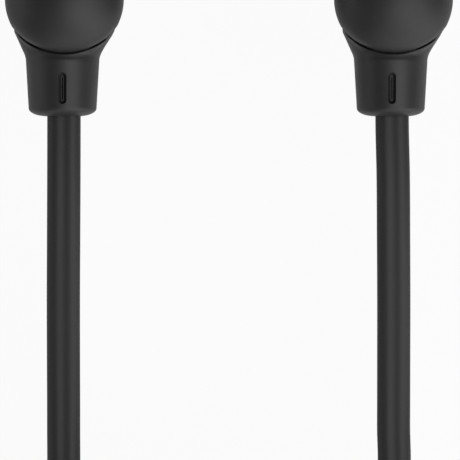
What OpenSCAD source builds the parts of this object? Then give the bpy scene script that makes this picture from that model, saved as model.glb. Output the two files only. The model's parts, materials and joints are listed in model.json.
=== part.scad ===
// Wired in-ear earphones, laid on a table with their outer caps up,
// the cord wound away and the plug beside the Y-splitter.

/* [Earphone body] */
// Distance between the two earphones, centre to centre
bud_spacing = 36.2; // [32:0.1:44]
// Diameter of the head at its widest
head_d = 13; // [12.6:0.1:14]
// Height of the domed cap above the widest line
dome_h = 4.6; // [4:0.1:5.4]
// Height of the widest line above the table
widest_z = 12.6; // [12.2:0.1:14]
// Length from the top of the head to the foot of the neck
bud_len = 19.4; // [18.4:0.1:22]
// Wall of the domed cover
wall = 0.9; // [0.7:0.05:1]
// Gap at the parting line of the cap
seam_gap = 0.2; // [0.12:0.01:0.3]
// Depth of the seam before the lip that closes it
seam_depth = 0.5; // [0.3:0.05:0.6]

/* [Neck] */
// Diameter of the neck where it leaves the flare
neck_d = 8.1; // [7.8:0.1:8.6]
// Diameter of the neck above its rounded foot
neck_end_d = 7.5; // [7.2:0.1:7.8]
// Length of the neck
neck_len = 6.05; // [5.8:0.05:7.4]
// Angle of the flare between the neck and the head
flare_angle = 27; // [22:0.5:30]
// Radius of the fillet between the flare and the neck
flare_fillet = 2; // [1:0.1:2.4]
// Height of the neck's axis above the table
neck_z = 10.1; // [9.9:0.05:10.4]
// Bore of the neck
neck_bore_d = 4.4; // [4.2:0.1:4.8]
// Width of the vent slot
slot_w = 0.9; // [0.6:0.02:1.1]
// Length of the vent slot
slot_len = 3.5; // [2.6:0.1:3.8]

/* [Nozzle and ear tip] */
// Outer diameter of the nozzle
nozzle_d = 5.2; // [4.8:0.1:5.6]
// Bore of the nozzle
nozzle_bore_d = 3.4; // [2.8:0.1:3.6]
// Height of the nozzle's mouth above the table
mouth_z = 1.6; // [1.2:0.1:2]
// Largest diameter of the ear tip
tip_d = 11.4; // [10.6:0.1:11.8]
// Length of the ear tip
tip_len = 6.6; // [6:0.1:6.9]
// Wall of the ear tip's skirt
skirt_wall = 0.55; // [0.45:0.05:0.8]
// Running clearance of the ear tip on the nozzle
tip_clear = 0.05; // [0.03:0.01:0.1]

/* [Driver] */
// Outer diameter of the driver's frame
driver_d = 9.0; // [8.4:0.1:9.2]
// Depth of the driver
driver_h = 3.0; // [2.8:0.1:3.4]
// Clearance of the driver in its seat
seat_clear = 0.08; // [0.05:0.01:0.12]

/* [Cord] */
// Width of the flat-oval cord
cord_w = 3.6; // [3.2:0.1:3.7]
// Thickness of the flat-oval cord
cord_t = 2.4; // [2:0.1:2.6]
// Radius of the outermost turn
coil_r = 25; // [24:0.5:27]
// Gap between neighbouring turns
turn_gap = 0.55; // [0.5:0.05:0.8]
// Gap between layers of turns
layer_gap = 0.45; // [0.42:0.01:0.6]

/* [Splitter] */
// Length of the splitter
split_len = 22; // [18:0.5:26]
// Width of the splitter where the two cords enter
split_w = 10; // [9.4:0.2:11]
// Width of the splitter where the single cord leaves
split_end_w = 6.4; // [5.8:0.2:7.4]
// Thickness of the splitter
split_t = 6; // [5.4:0.2:7]
// Height of the cords where they enter the splitter
split_z = 3.1; // [3:0.05:3.6]

/* [Plug] */
// Diameter of the plug's pin
pin_d = 3.5; // [3.5:0.1:3.5]
// Length of the pin
pin_len = 14; // [13.8:0.1:14.4]
// Diameter of the grip
grip_d = 6.2; // [5.6:0.1:7]
// Length of the grip
grip_len = 15; // [12:0.5:19]
// Length of the plug's strain relief
relief_len = 9; // [7:0.5:12]
// Height of the plug's axis above the table
plug_z = 3.3; // [3.2:0.1:4]

/* [Hidden] */
SIDES = ["left", "right"];
EACH = ["ear_tip", "nozzle_mesh", "front_housing", "rear_cover", "driver_frame", "driver_yoke",
        "driver_magnet", "pole_plate", "voice_coil", "diaphragm", "terminal_board", "vent_mesh",
        "cord_bush", "lead_wires", "cord", "coil", "cord_end"];
$fn = 72;

housing_color = [0.17, 0.17, 0.17];
cord_color = [0.15, 0.15, 0.15];
rubber_color = [0.12, 0.12, 0.12];
steel_color = [0.7, 0.7, 0.7];

// Places of one earphone, about the centre of its head
head_r = head_d / 2;
head_y = bud_len / 2 - head_r;
foot_y = -bud_len / 2;
neck_y = foot_y + neck_len;
neck_dx = -0.25;
cord_dx = -0.1;
cap_r = 7.28;
cap_y = head_y + 1.35;
cap_proud = 0.06;
lip_w = 0.6;
lip_back = 1.5;
bowl_h = 5;
bowl_end_r = nozzle_d / 2 + 0.4;
foot_round = [2, 0.88];

// Flare between the head and the neck, as radius and length
flare_y = neck_y + 3.1;
flare_start = [neck_d / 2 + flare_fillet * (1 - cos(flare_angle)), neck_y + flare_fillet * sin(flare_angle)];
flare_r = flare_start.x + (flare_y - flare_start.y) * tan(flare_angle);

// Driver seat
floor_z = widest_z - 2.2;
driver_r = driver_d / 2;
seat_r = driver_r + seat_clear;
driver_top = floor_z + driver_h;

// Driver pieces, from the step that carries the diaphragm up to the yoke's back
frame_wall = 0.35;
frame_ledge = 0.5;
step_z = floor_z + 0.4;
film_t = 0.12;
film_dome_h = 0.4;
plate_z = step_z + 0.65;
plate_top = plate_z + 0.4;
magnet_top = driver_top - 0.45;
coil_top = driver_top - 1.1;
yoke_z = step_z + 0.75;
magnet_r = 2.45;
coil_in_r = 2.65;
coil_out_r = 2.85;
yoke_in_r = 3.05;
yoke_r = 3.45;
air = 0.05;
board = [3.2, 2, 0.4];
board_y = -2.6;

// Leads, up from the neck beside the driver and over to the board
lead_d = 0.4;
lead_dx = 0.8;
lead_y = head_y - driver_r - 0.35;
lead_z = driver_top + 0.6;
lead_room = [2 * lead_dx + lead_d + 0.3, lead_d + 0.16];

// Cord exit
bore_r = neck_bore_d / 2;
mouth_depth = 0.8;
exit_y = foot_y + mouth_depth;
exit_clear = 0.1;
bush_len = 2.6;
bush_end = exit_y + bush_len;
slot_y = (neck_y + foot_y) / 2;
mesh_seat = [slot_w + 0.8, slot_len + 0.8, 0.3];

// Coil
coil_at = [0, -83];
lie_z = cord_t / 2;
layer_step = cord_t + layer_gap;
turn_step = cord_w + turn_gap;
pair_step = 2 * turn_step;
main_r = coil_r - 1;
pair_turns = 2;
main_turns = 5.5;
rings_per_loop = 24;
turn_a = 360 / rings_per_loop;
soft_a = 40;
lead = cord_w;
stub = lead / 3;

// Splitter
split_y = -104;
split_x = coil_at.x - coil_r + turn_step / 2;
split_end_y = split_y - split_len;
split_wall = 1;
split_corner = 1.6;
split_crown_r = 14;
core_clear = 0.05;

// Plug
plug_x = -33.5;
plug_y = -118;
grip_y = plug_y - relief_len;
pin_y = grip_y - grip_len;
pin_r = pin_d / 2;
insulator_len = 0.75;
ring_len = 2.2;
tip_part_len = 4.4;
sleeve_len = pin_len - tip_part_len - ring_len - 2 * insulator_len;
rod_r = 0.5;
liner_r = 0.9;

// Routes of the cords where they aren't coiled, points chosen by hand
down_y = [0, -1, 0];
cord_x = [-bud_spacing / 2 + cord_dx, bud_spacing / 2 + cord_dx];
left_route = [[-18.2, -16, 9.7], [-18.2, -23, 8.2], [-18.2, -30, 5.8], [-18.2, -37, 3.4],
              [-18.2, -44, 1.7], [-18.3, -51, 1.2], [-19.2, -58, 1.2], [-21.2, -65, 1.2],
              [-23.5, -71, 1.2], [-24.9, -76, 1.2]];
right_route = [[18, -16, 9.7], [18, -23, 8.2], [18, -30, 5.8], [18, -37, 3.4],
               [18, -44, 1.7], [18, -50, 1.2], [17.2, -53.8, 1.2], [15.1, -57.1, 1.2],
               [11.8, -59.2, 1.2], [8, -60, 1.2]];
main_route = [[-22.9, -131, 2.6], [-22, -136, 1.7], [-19, -140.5, 1.2], [-14.5, -143.5, 1.2],
              [-9, -144.5, 1.2], [0, -144.5, 1.2], [9, -144.3, 1.2], [15, -142.8, 1.2],
              [20, -139, 1.2], [23, -133, 1.2], [24, -126, 1.5], [24, -118, 2.6],
              [24, -110, 4.2], [24, -102, 5.7], [24, -94, 6.7]];
plug_route = [[-24.7, -92, 9.3], [-26.8, -98, 8], [-29.7, -104, 6.1], [-32.3, -110, 4.3]];
left_end_route = [[-25, -92, 3.8], [-25, -98, 3.3]];
right_end_route = [[-20.9, -92, 3.8], [-20.9, -98, 3.3]];

// Points of the coils
pair_end = 180 + 360 * pair_turns;
pair_mid = 180 + 180 * pair_turns;
left_pts = winding(180, pair_end, 180, pair_mid, coil_r, pair_step, lie_z);
right_pts = winding(90, pair_end, 180, pair_mid, coil_r - turn_step, pair_step, lie_z);
main_mid = 180 * main_turns;
main_pts = winding(0, 2 * main_mid, 0, main_mid, main_r, turn_step, lie_z + 2 * layer_step);

// ---- helpers -------------------------------------------------------------

function unit(v) = v / norm(v);
function arc(c, rx, ry, a0, a1, n) =
    [for (k = [0:n]) let (a = a0 + (a1 - a0) * k / n) [c.x + rx * cos(a), c.y + ry * sin(a)]];
function ease(s) = s <= 0 ? 0 : s >= 1 ? 1 : s * s * (3 - 2 * s);

// Oval section of a cord, square to its heading t, its width level
function oval(c, t, n) =
    let (s = unit(cross(t, [0, 0, 1])), u = cross(s, t))
    [for (k = [0:n - 1]) c + s * cord_w / 2 * cos(360 * k / n) + u * cord_t / 2 * sin(360 * k / n)];
function heading(p, i) = unit(p[min(i + 1, len(p) - 1)] - p[max(i - 1, 0)]);

// Tube of n sides through the points p
module tube_along(p, n) {
    m = len(p);
    rings = [for (i = [0:m - 1]) oval(p[i], heading(p, i), n)];
    verts = concat([for (r = rings) for (v = r) v], [p[0], p[m - 1]]);
    side_faces = [for (i = [0:m - 2]) for (k = [0:n - 1])
        let (a = i * n + k, b = i * n + (k + 1) % n) each [[a, b, a + n], [b, b + n, a + n]]];
    end_faces = [for (k = [0:n - 1]) let (j = (k + 1) % n)
        each [[m * n, j, k], [m * n + 1, (m - 1) * n + k, (m - 1) * n + j]]];
    polyhedron(verts, concat(side_faces, end_faces));
}

// Solid of revolution about the Y axis, from points of radius and length
module revolve_y(pts) {
    rotate([-90, 0, 0]) rotate_extrude() polygon(pts);
}

module ring_z(r_out, r_in, z0, z1) {
    translate([0, 0, z0]) difference() {
        cylinder(r = r_out, h = z1 - z0);
        translate([0, 0, -1]) cylinder(r = r_in, h = z1 - z0 + 2);
    }
}

module disc_z(r, z0, z1) {
    translate([0, 0, z0]) cylinder(r = r, h = z1 - z0);
}

module at_side(side) {
    translate([(side == "left" ? -1 : 1) * bud_spacing / 2, 0, 0]) children();
}

module at_head(side) {
    at_side(side) translate([0, head_y, 0]) children();
}

module at_neck(side) {
    at_side(side) translate([neck_dx, 0, neck_z]) children();
}

// ---- earphone body ---------------------------------------------------------

// Dome above the widest line, grown by g
module dome(g) {
    translate([0, head_y, widest_z]) rotate_extrude()
        polygon(concat([[0, 0]], arc([0, 0], head_r + g, dome_h + g, 0, 90, 14)));
}

// Bowl below the widest line, down to the nozzle's root
module bowl() {
    a_end = acos(bowl_end_r / head_r);
    low = bowl_h * sin(a_end);
    translate([0, head_y, widest_z]) rotate_extrude()
        polygon(concat([[0, 0]], arc([0, 0], head_r, bowl_h, 0, -a_end, 12), [[0, -low]]));
}

// Flare and neck, one turned form along the cord
module neck() {
    foot_r = neck_end_d / 2;
    translate([neck_dx, 0, neck_z]) revolve_y(concat(
        [[0, foot_y]],
        arc([foot_r - foot_round.x, foot_y + foot_round.y], foot_round.x, foot_round.y, -90, 0, 8),
        arc([neck_d / 2 + flare_fillet, neck_y], flare_fillet, flare_fillet, 180, 180 - flare_angle, 5),
        [[flare_r, flare_y], [flare_r, flare_y + 1.2], [0, flare_y + 4]]));
}

module nozzle() {
    groove = 0.25;
    z = mouth_z;
    translate([0, head_y, 0]) rotate_extrude() polygon([
        [0, z], [nozzle_d / 2 - 0.3, z], [nozzle_d / 2, z + 0.3], [nozzle_d / 2, z + 1.1],
        [nozzle_d / 2 - groove, z + 1.3], [nozzle_d / 2 - groove, z + 2.4],
        [nozzle_d / 2, z + 2.6], [nozzle_d / 2, widest_z - 3], [0, widest_z - 3]]);
}

// Plan of the cap: inside this round wall the cap covers the head
module cap_plan(g) {
    translate([0, cap_y, widest_z]) cylinder(r = cap_r + g, h = dome_h + 2, $fn = 144);
}

module cord_mouth(depth) {
    half = (cord_w - cord_t) / 2;
    r = cord_t / 2 + exit_clear;
    translate([cord_dx, foot_y - 1, neck_z]) rotate([-90, 0, 0]) {
        for (s = [-1, 1]) translate([s * half, 0, 0]) cylinder(r = r, h = depth + 1);
        translate([-half, -r, 0]) cube([2 * half, 2 * r, depth + 1]);
    }
}

module vent_slot() {
    mid = slot_len / 2 - slot_w / 2;
    translate([neck_dx, slot_y, neck_z]) {
        for (s = [-1, 1]) translate([0, s * mid, 0]) cylinder(d = slot_w, h = neck_d);
        translate([-slot_w / 2, -mid, 0]) cube([slot_w, 2 * mid, neck_d]);
        translate([-mesh_seat.x / 2 - 0.05, -mesh_seat.y / 2 - 0.05, 0])
            cube([mesh_seat.x + 0.1, mesh_seat.y + 0.1, bore_r + mesh_seat.z + 0.1]);
    }
}

module front_housing(side) {
    color(housing_color) at_side(side) difference() {
        union() {
            difference() {
                union() { bowl(); dome(0); neck(); nozzle(); }
                cap_plan(seam_gap);
            }
            // lip that closes the seam from inside
            difference() {
                intersection() { dome(-seam_depth); cap_plan(seam_gap + 0.1); }
                translate([0, 0, -0.5]) cap_plan(-lip_w);
                rim_cut();
            }
        }
        // driver seat, room behind it and sound tube
        translate([0, head_y, 0]) {
            disc_z(seat_r, floor_z, widest_z + dome_h);
            disc_z(nozzle_bore_d / 2, mouth_z - 1, floor_z + 1);
        }
        // room for the skirt of the ear tip
        translate([0, head_y, 0]) ring_z(head_r, nozzle_d / 2, mouth_z - 2, tip_len + 0.4);
        translate([neck_dx, exit_y, neck_z]) rotate([-90, 0, 0])
            cylinder(r = bore_r, h = head_y - exit_y - 1);
        translate([neck_dx - lead_room.x / 2, lead_y - lead_room.y / 2, neck_z])
            cube([lead_room.x, lead_room.y, widest_z + dome_h]);
        cord_mouth(mouth_depth + 0.5);
        vent_slot();
    }
}

// Keeps the lip to the arc over the flare, away from the widest line
module rim_cut() {
    translate([-head_d, head_y - lip_back, widest_z - 1]) cube([2 * head_d, head_d, dome_h + 2]);
}

module rear_cover(side) {
    color(housing_color) at_side(side) difference() {
        intersection() { dome(cap_proud); cap_plan(0); }
        dome(-wall);
        translate([0, head_y, widest_z - 1]) cylinder(r = seat_r, h = 1.5);
        // rebate over the lip
        difference() {
            translate([0, 0, -0.1]) dome(-seam_depth + seam_gap / 2);
            translate([0, 0, -0.5]) cap_plan(-lip_w - seam_gap);
            rim_cut();
        }
    }
}

// ---- ear tip ---------------------------------------------------------------

module ear_tip(side) {
    r = tip_d / 2;
    in_r = nozzle_d / 2 + tip_clear;
    sleeve_r = in_r + 0.5;
    belly_z = tip_len - 2.2;
    outer = concat(arc([sleeve_r - 0.1, 0.7], 0.7, 0.7, -90, -45, 4),
                   arc([r - 3.4, belly_z], 3.4, belly_z - 0.35, -50, 0, 8),
                   [[r - 0.05, tip_len - 0.8], [r - 0.3, tip_len]]);
    inner = concat([[r - 0.3 - skirt_wall, tip_len]],
                   arc([r - 3.4, belly_z], 3.4 - skirt_wall, belly_z - 0.35 - skirt_wall, 0, -50, 8),
                   [[sleeve_r, 1.7], [sleeve_r, tip_len - 0.9], [in_r, tip_len - 0.9]]);
    color(rubber_color) at_head(side) rotate_extrude()
        polygon(concat([[in_r, 0.25], [in_r + 0.2, 0]], outer, inner));
}

module nozzle_mesh(side) {
    color(steel_color) at_head(side) disc_z(nozzle_bore_d / 2 - 0.03, mouth_z + 0.2, mouth_z + 0.4);
}

// ---- driver ----------------------------------------------------------------

module driver_frame(side) {
    color("dimgray") at_head(side) difference() {
        disc_z(driver_r, floor_z, driver_top);
        disc_z(driver_r - frame_wall - frame_ledge, floor_z - 1, step_z + 1);
        disc_z(driver_r - frame_wall, step_z, driver_top - 0.5);
        disc_z(yoke_r + air, driver_top - 1, driver_top + 1);
    }
}

module diaphragm(side) {
    color("silver") at_head(side) difference() {
        union() {
            disc_z(driver_r - frame_wall - air, step_z, step_z + film_t);
            disc_z(coil_in_r - air, step_z, step_z + film_dome_h);
        }
        disc_z(coil_in_r - 0.3, step_z - 1, step_z + film_dome_h - film_t);
    }
}

module voice_coil(side) {
    color("peru") at_head(side) ring_z(coil_out_r, coil_in_r, step_z + film_t, coil_top);
}

module pole_plate(side) {
    color(steel_color) at_head(side) disc_z(coil_in_r - 2 * air, plate_z, plate_top);
}

module driver_magnet(side) {
    color("gray") at_head(side) disc_z(magnet_r, plate_top, magnet_top);
}

module driver_yoke(side) {
    color(steel_color) at_head(side) difference() {
        disc_z(yoke_r, yoke_z, driver_top);
        disc_z(yoke_in_r, step_z, magnet_top);
    }
}

module terminal_board(side) {
    color("darkgreen") at_head(side) translate([-board.x / 2, board_y, driver_top]) cube(board);
}

// Two leads, from the bush to the pads on the terminal board
module lead_wires(side) {
    foot_z = neck_z - lead_d / 2;
    color("peru") at_side(side) for (s = [-1, 1]) translate([neck_dx + s * lead_dx, 0, 0]) {
        translate([0, bush_end, neck_z]) rotate([-90, 0, 0])
            cylinder(d = lead_d, h = lead_y - bush_end, $fn = 16);
        translate([0, lead_y, foot_z]) cylinder(d = lead_d, h = lead_z + lead_d / 2 - foot_z, $fn = 16);
        translate([0, lead_y, lead_z]) rotate([-90, 0, 0])
            cylinder(d = lead_d, h = head_y + board_y + board.y / 2 - lead_y, $fn = 16);
    }
}

// ---- neck fittings ---------------------------------------------------------

module vent_mesh(side) {
    color("dimgray") at_neck(side)
        translate([-mesh_seat.x / 2, slot_y - mesh_seat.y / 2, bore_r + 0.05])
        cube(mesh_seat);
}

module cord_bush(side) {
    color(rubber_color) at_neck(side) translate([0, exit_y, 0]) rotate([-90, 0, 0]) {
        cylinder(r = bore_r - 0.05, h = bush_len * 0.6);
        cylinder(r = bore_r - 0.6, h = bush_len);
    }
}

// ---- cord ------------------------------------------------------------------

// Distance of the reversal angle, rounded off near it
function fold(u) = abs(u) < soft_a ? u * u / (2 * soft_a) + soft_a / 2 : abs(u);

// One winding: in from angle a0 to the reversal a_mid and out again to a1.
// r_out is the radius at angle a_ref, step the radial travel of a turn, and
// the cord climbs one layer in the half turn round the reversal.
function turn_r(a, a_ref, a_mid, r_out, step) =
    r_out - step * (a_mid - a_ref) / 360 + step * fold(a - a_mid) / 360;
function turn_pt(a, a_ref, a_mid, r_out, step, z) =
    let (r = turn_r(a, a_ref, a_mid, r_out, step))
    [coil_at.x + r * cos(a), coil_at.y + r * sin(a), z + layer_step * ease((a - a_mid + 90) / 180)];
function winding(a0, a1, a_ref, a_mid, r_out, step, z) =
    let (p = [for (a = [a0:turn_a:a1 + 1]) turn_pt(a, a_ref, a_mid, r_out, step, z)],
         n = len(p) - 1, t0 = [-sin(a0), cos(a0), 0], t1 = [-sin(a1), cos(a1), 0])
    concat([p[0] - t0 * lead, p[0] - t0 * stub], p, [p[n] + t1 * stub, p[n] + t1 * lead]);

// Least gap between the skins of turns that pass the same angle
function skin(p, i) = oval(p[i], heading(p, i), 16);
function skin_gap(a, b) = min([for (v = a) for (w = b) norm(v - w)]);
function own_gap(p) = min([for (i = [2:len(p) - 3 - rings_per_loop])
    for (k = [1:2]) let (j = i + k * rings_per_loop) if (j < len(p) - 2) skin_gap(skin(p, i), skin(p, j))]);

// Route from a to b that leaves a along t and reaches b along u
function joined(a, t, route, b, u) = concat([a, a + t * stub], route, [b - u * stub, b]);

module cord(side) {
    i = side == "left" ? 0 : 1;
    pts = i == 0 ? left_pts : right_pts;
    start = [cord_x[i], exit_y, neck_z];
    color(cord_color)
        tube_along(joined(start, down_y, i == 0 ? left_route : right_route, pts[0], heading(pts, 0)), 8);
}

module coil(side) {
    pts = side == "left" ? left_pts : right_pts;
    echo(str(side, " coil least gap to itself"), own_gap(pts));
    color(cord_color) tube_along(pts, 6);
}

module cord_end(side) {
    pts = side == "left" ? left_pts : right_pts;
    route = side == "left" ? left_end_route : right_end_route;
    n = len(pts) - 1;
    color(cord_color)
        tube_along(joined(pts[n], heading(pts, n), route, [pts[n].x, split_y, split_z], down_y), 8);
}

module main_cord() {
    start = [split_x, split_end_y, split_z];
    color(cord_color) tube_along(joined(start, down_y, main_route, main_pts[0], heading(main_pts, 0)), 8);
}

module main_coil() {
    echo("main coil least gap to itself", own_gap(main_pts));
    color(cord_color) tube_along(main_pts, 6);
}

module main_cord_end() {
    n = len(main_pts) - 1;
    plug_end = [plug_x, plug_y, plug_z];
    color(cord_color)
        tube_along(joined(main_pts[n], heading(main_pts, n), plug_route, plug_end, down_y), 8);
}

// ---- splitter --------------------------------------------------------------

// Plan of the splitter, wide where two cords enter, shrunk by g
function split_plan(g) =
    let (w = split_w / 2 - g, e = split_end_w / 2 - g, l = split_len - g, c = split_corner)
    concat(arc([w - c, -g - c], c, c, 0, 90, 5), arc([-w + c, -g - c], c, c, 90, 180, 5),
           arc([-e + c, -l + c], c, c, 190, 270, 5), arc([e - c, -l + c], c, c, -90, -10, 5));

// Cross-section across the splitter, crowned above and below, shrunk by g
function split_section(g) =
    let (r = split_crown_r, t = split_t / 2 - g, a = asin(split_w / 2 / r))
    concat(arc([0, t - r], r, r, 90 - a, 90 + a, 8), arc([0, r - t], r, r, 270 - a, 270 + a, 8));

module split_body(g) {
    translate([split_x, split_y, split_z]) intersection() {
        translate([0, 0, -split_t]) linear_extrude(2 * split_t) polygon(split_plan(g));
        rotate([90, 0, 0]) translate([0, 0, -1]) linear_extrude(split_len + 2) polygon(split_section(g));
    }
}

module split_shell(up) {
    color(housing_color) difference() {
        split_body(0);
        split_body(split_wall);
        translate([split_x - split_w, split_y - split_len - 1, up ? split_z - split_t : split_z])
            cube([2 * split_w, split_len + 2, split_t]);
    }
}

module splitter_core() {
    color(rubber_color) split_body(split_wall + core_clear);
}

// ---- plug ------------------------------------------------------------------

module at_plug(y) {
    translate([plug_x, y, plug_z]) rotate([90, 0, 0]) children();
}

module plug_relief() {
    ribs = 6;
    rib = relief_len / ribs;
    groove = 0.3;
    r0 = cord_t / 2 + 0.7;
    r1 = grip_d / 2 - 0.5;
    color(rubber_color) at_plug(plug_y) rotate_extrude() polygon(concat([[0, 0]],
        [for (k = [0:ribs - 1]) let (r = r0 + (r1 - r0) * k / (ribs - 1), y = k * rib) each
            [[r, y], [r, y + rib * 0.6], [r - groove, y + rib * 0.7], [r - groove, y + rib]]],
        [[0, relief_len]]));
}

module plug_grip() {
    r = grip_d / 2;
    color(housing_color) at_plug(grip_y) difference() {
        rotate_extrude() polygon(concat([[0, 0]], arc([r - 0.7, 0.7], 0.7, 0.7, -90, 0, 4),
            [[r - 0.25, grip_len * 0.55]], [[r - 0.1, grip_len - 1]],
            arc([r - 0.7, grip_len - 0.6], 0.6, 0.6, 0, 90, 4), [[0, grip_len]]));
        translate([0, 0, grip_len - 4]) cylinder(r = liner_r + 0.55, h = 5);
    }
}

module plug_sleeve() {
    color("goldenrod") at_plug(pin_y) difference() {
        union() {
            cylinder(r = pin_r, h = sleeve_len);
            translate([0, 0, -4]) cylinder(r = liner_r + 0.5, h = 4.5);
        }
        translate([0, 0, -5]) cylinder(r = liner_r, h = sleeve_len + 6);
    }
}

module plug_ring() {
    color("goldenrod") at_plug(pin_y - sleeve_len - insulator_len) difference() {
        cylinder(r = pin_r, h = ring_len);
        translate([0, 0, -1]) cylinder(r = liner_r, h = ring_len + 2);
    }
}

module plug_tip() {
    start = sleeve_len + ring_len + 2 * insulator_len;
    l = tip_part_len;
    color("goldenrod") at_plug(pin_y) {
        translate([0, 0, start]) rotate_extrude() polygon([
            [0, 0], [pin_r - 0.3, 0], [pin_r - 0.55, 0.9], [pin_r - 0.02, 1.9],
            [pin_r - 0.1, 2.5], [0.45, l - 0.25], [0.25, l], [0, l]]);
        translate([0, 0, -3]) cylinder(r = rod_r, h = start + 3.1);
    }
}

module plug_insulators() {
    start = sleeve_len;
    color("black") at_plug(pin_y) difference() {
        union() {
            for (z = [start, start + insulator_len + ring_len])
                translate([0, 0, z]) cylinder(r = pin_r, h = insulator_len);
            translate([0, 0, -3]) cylinder(r = liner_r - 0.02, h = start + ring_len + insulator_len + 3.1);
        }
        translate([0, 0, -4]) cylinder(r = rod_r + 0.02, h = pin_len + 4);
    }
}

for (s = SIDES) {
    ear_tip(s);
    nozzle_mesh(s);
    front_housing(s);
    rear_cover(s);
    driver_frame(s);
    driver_yoke(s);
    driver_magnet(s);
    pole_plate(s);
    voice_coil(s);
    diaphragm(s);
    terminal_board(s);
    vent_mesh(s);
    cord_bush(s);
    lead_wires(s);
    cord(s);
    coil(s);
    cord_end(s);
}
split_shell(true);  // splitter_upper_shell
split_shell(false);  // splitter_lower_shell
splitter_core();
main_cord();
main_coil();
main_cord_end();
plug_relief();
plug_grip();
plug_sleeve();
plug_ring();
plug_tip();
plug_insulators();
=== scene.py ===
import json
import math

import bmesh
import bpy
import numpy as np
from mathutils import Matrix


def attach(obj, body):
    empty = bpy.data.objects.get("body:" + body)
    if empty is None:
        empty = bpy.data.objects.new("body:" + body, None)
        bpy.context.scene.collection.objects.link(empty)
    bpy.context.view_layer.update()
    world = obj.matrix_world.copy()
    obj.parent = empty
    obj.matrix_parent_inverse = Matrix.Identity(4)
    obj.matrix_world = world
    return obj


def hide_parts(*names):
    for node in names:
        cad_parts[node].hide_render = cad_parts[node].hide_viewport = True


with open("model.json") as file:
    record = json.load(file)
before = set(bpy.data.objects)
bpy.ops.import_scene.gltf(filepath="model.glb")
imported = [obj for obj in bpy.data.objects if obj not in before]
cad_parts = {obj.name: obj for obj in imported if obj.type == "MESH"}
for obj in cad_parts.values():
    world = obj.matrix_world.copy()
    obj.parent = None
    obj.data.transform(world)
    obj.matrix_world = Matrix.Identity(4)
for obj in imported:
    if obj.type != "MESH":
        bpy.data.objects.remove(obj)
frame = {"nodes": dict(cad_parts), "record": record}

scene = bpy.context.scene
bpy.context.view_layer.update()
mm = 0.001
sides = {"left": -1, "right": 1}


# camera

view = {
    "shown": 50.6,  # mm across the picture
    "centre": (0.118, -22.25),
    "focusHeight": 12.6,
    "lens": 600,
    "sensor": 36,
}


def addCamera():
    # looks straight down on the caps, from far away so that nothing leans outwards
    cam = bpy.data.cameras.new("camera")
    cam.lens = view["lens"]
    cam.sensor_width = view["sensor"]
    away = view["shown"] * view["lens"] / view["sensor"]
    cam.clip_start = 0.05
    cam.clip_end = 10
    obj = bpy.data.objects.new("camera", cam)
    obj.location = (view["centre"][0] * mm, view["centre"][1] * mm, (view["focusHeight"] + away) * mm)
    scene.collection.objects.link(obj)
    scene.camera = obj


# surfaces

def gridFaces(rows, cols):
    # quads between neighbouring rows, wrapped round the columns
    i, k = np.meshgrid(np.arange(rows - 1), np.arange(cols), indexing="ij")
    j = (k + 1) % cols
    quads = [i * cols + k, i * cols + j, (i + 1) * cols + j, (i + 1) * cols + k]
    return np.stack(quads, axis=-1).reshape(-1, 4)


def meshFromGrid(name, grid, attribute=None):
    # grid is rows x cols x 3 in mm; rows that shrink to a point close the form
    rows, cols, _ = grid.shape
    mesh = bpy.data.meshes.new(name)
    mesh.from_pydata((grid.reshape(-1, 3) * mm).tolist(), [], gridFaces(rows, cols).tolist())
    if attribute is not None:
        lay = mesh.attributes.new("lay", "FLOAT_VECTOR", "POINT")
        lay.data.foreach_set("vector", attribute.reshape(-1).astype(np.float32))
    return mesh


def tidyMesh(mesh, angle=35):
    # merges poles and turns every face outwards
    bm = bmesh.new()
    bm.from_mesh(mesh)
    bmesh.ops.remove_doubles(bm, verts=bm.verts, dist=2e-7)
    bmesh.ops.dissolve_degenerate(bm, edges=bm.edges, dist=1e-7)
    bmesh.ops.recalc_face_normals(bm, faces=bm.faces)
    bm.to_mesh(mesh)
    bm.free()
    mesh.shade_smooth()
    mesh.set_sharp_from_angle(angle=math.radians(angle))
    return mesh


def addPiece(name, mesh, material, body="earphones", nodes=()):
    # an object at the origin that rides on its body and stands for its CAD nodes
    obj = bpy.data.objects.new(name, mesh)
    scene.collection.objects.link(obj)
    mesh.materials.clear()
    mesh.materials.append(material)
    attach(obj, body)
    if nodes:
        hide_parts(*nodes)
    return obj


def arcPoints(centre, radius, start, end, count):
    # points on an ellipse arc; radius is a number or (across, along), angles in degrees
    rx, ry = radius if isinstance(radius, tuple) else (radius, radius)
    a = np.radians(np.linspace(start, end, count))
    return np.stack([centre[0] + rx * np.cos(a), centre[1] + ry * np.sin(a)], axis=-1)


def roundCorners(points, radii, steps):
    # an open outline with each inner corner cut by a quadratic curve of about its own radius
    pts = np.array(points, dtype=float)
    out = [pts[0:1]]
    t = np.linspace(0, 1, steps)[:, None]
    for i in range(1, len(pts) - 1):
        r = radii[i]
        if r <= 0:
            out.append(pts[i:i + 1])
            continue
        back, ahead = pts[i - 1] - pts[i], pts[i + 1] - pts[i]
        lb, la = np.linalg.norm(back), np.linalg.norm(ahead)
        a = pts[i] + back / lb * min(r, lb * 0.48)
        b = pts[i] + ahead / la * min(r, la * 0.48)
        out.append((1 - t) ** 2 * a + 2 * t * (1 - t) * pts[i] + t ** 2 * b)
    out.append(pts[-1:])
    return np.concatenate(out)


def turned(profile, centre, axis="z", cols=128):
    # surface of revolution: profile of (radius, along), carried round the axis
    profile = np.asarray(profile, dtype=float)
    a = np.linspace(0, 2 * math.pi, cols, endpoint=False)
    r, h = profile[:, 0:1], profile[:, 1:2]
    x, y, z = r * np.cos(a), r * np.sin(a), h + 0 * a
    grid = np.stack([x, y, z] if axis == "z" else [x, z, y], axis=-1)
    return grid + np.array(centre)


# cords

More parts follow.
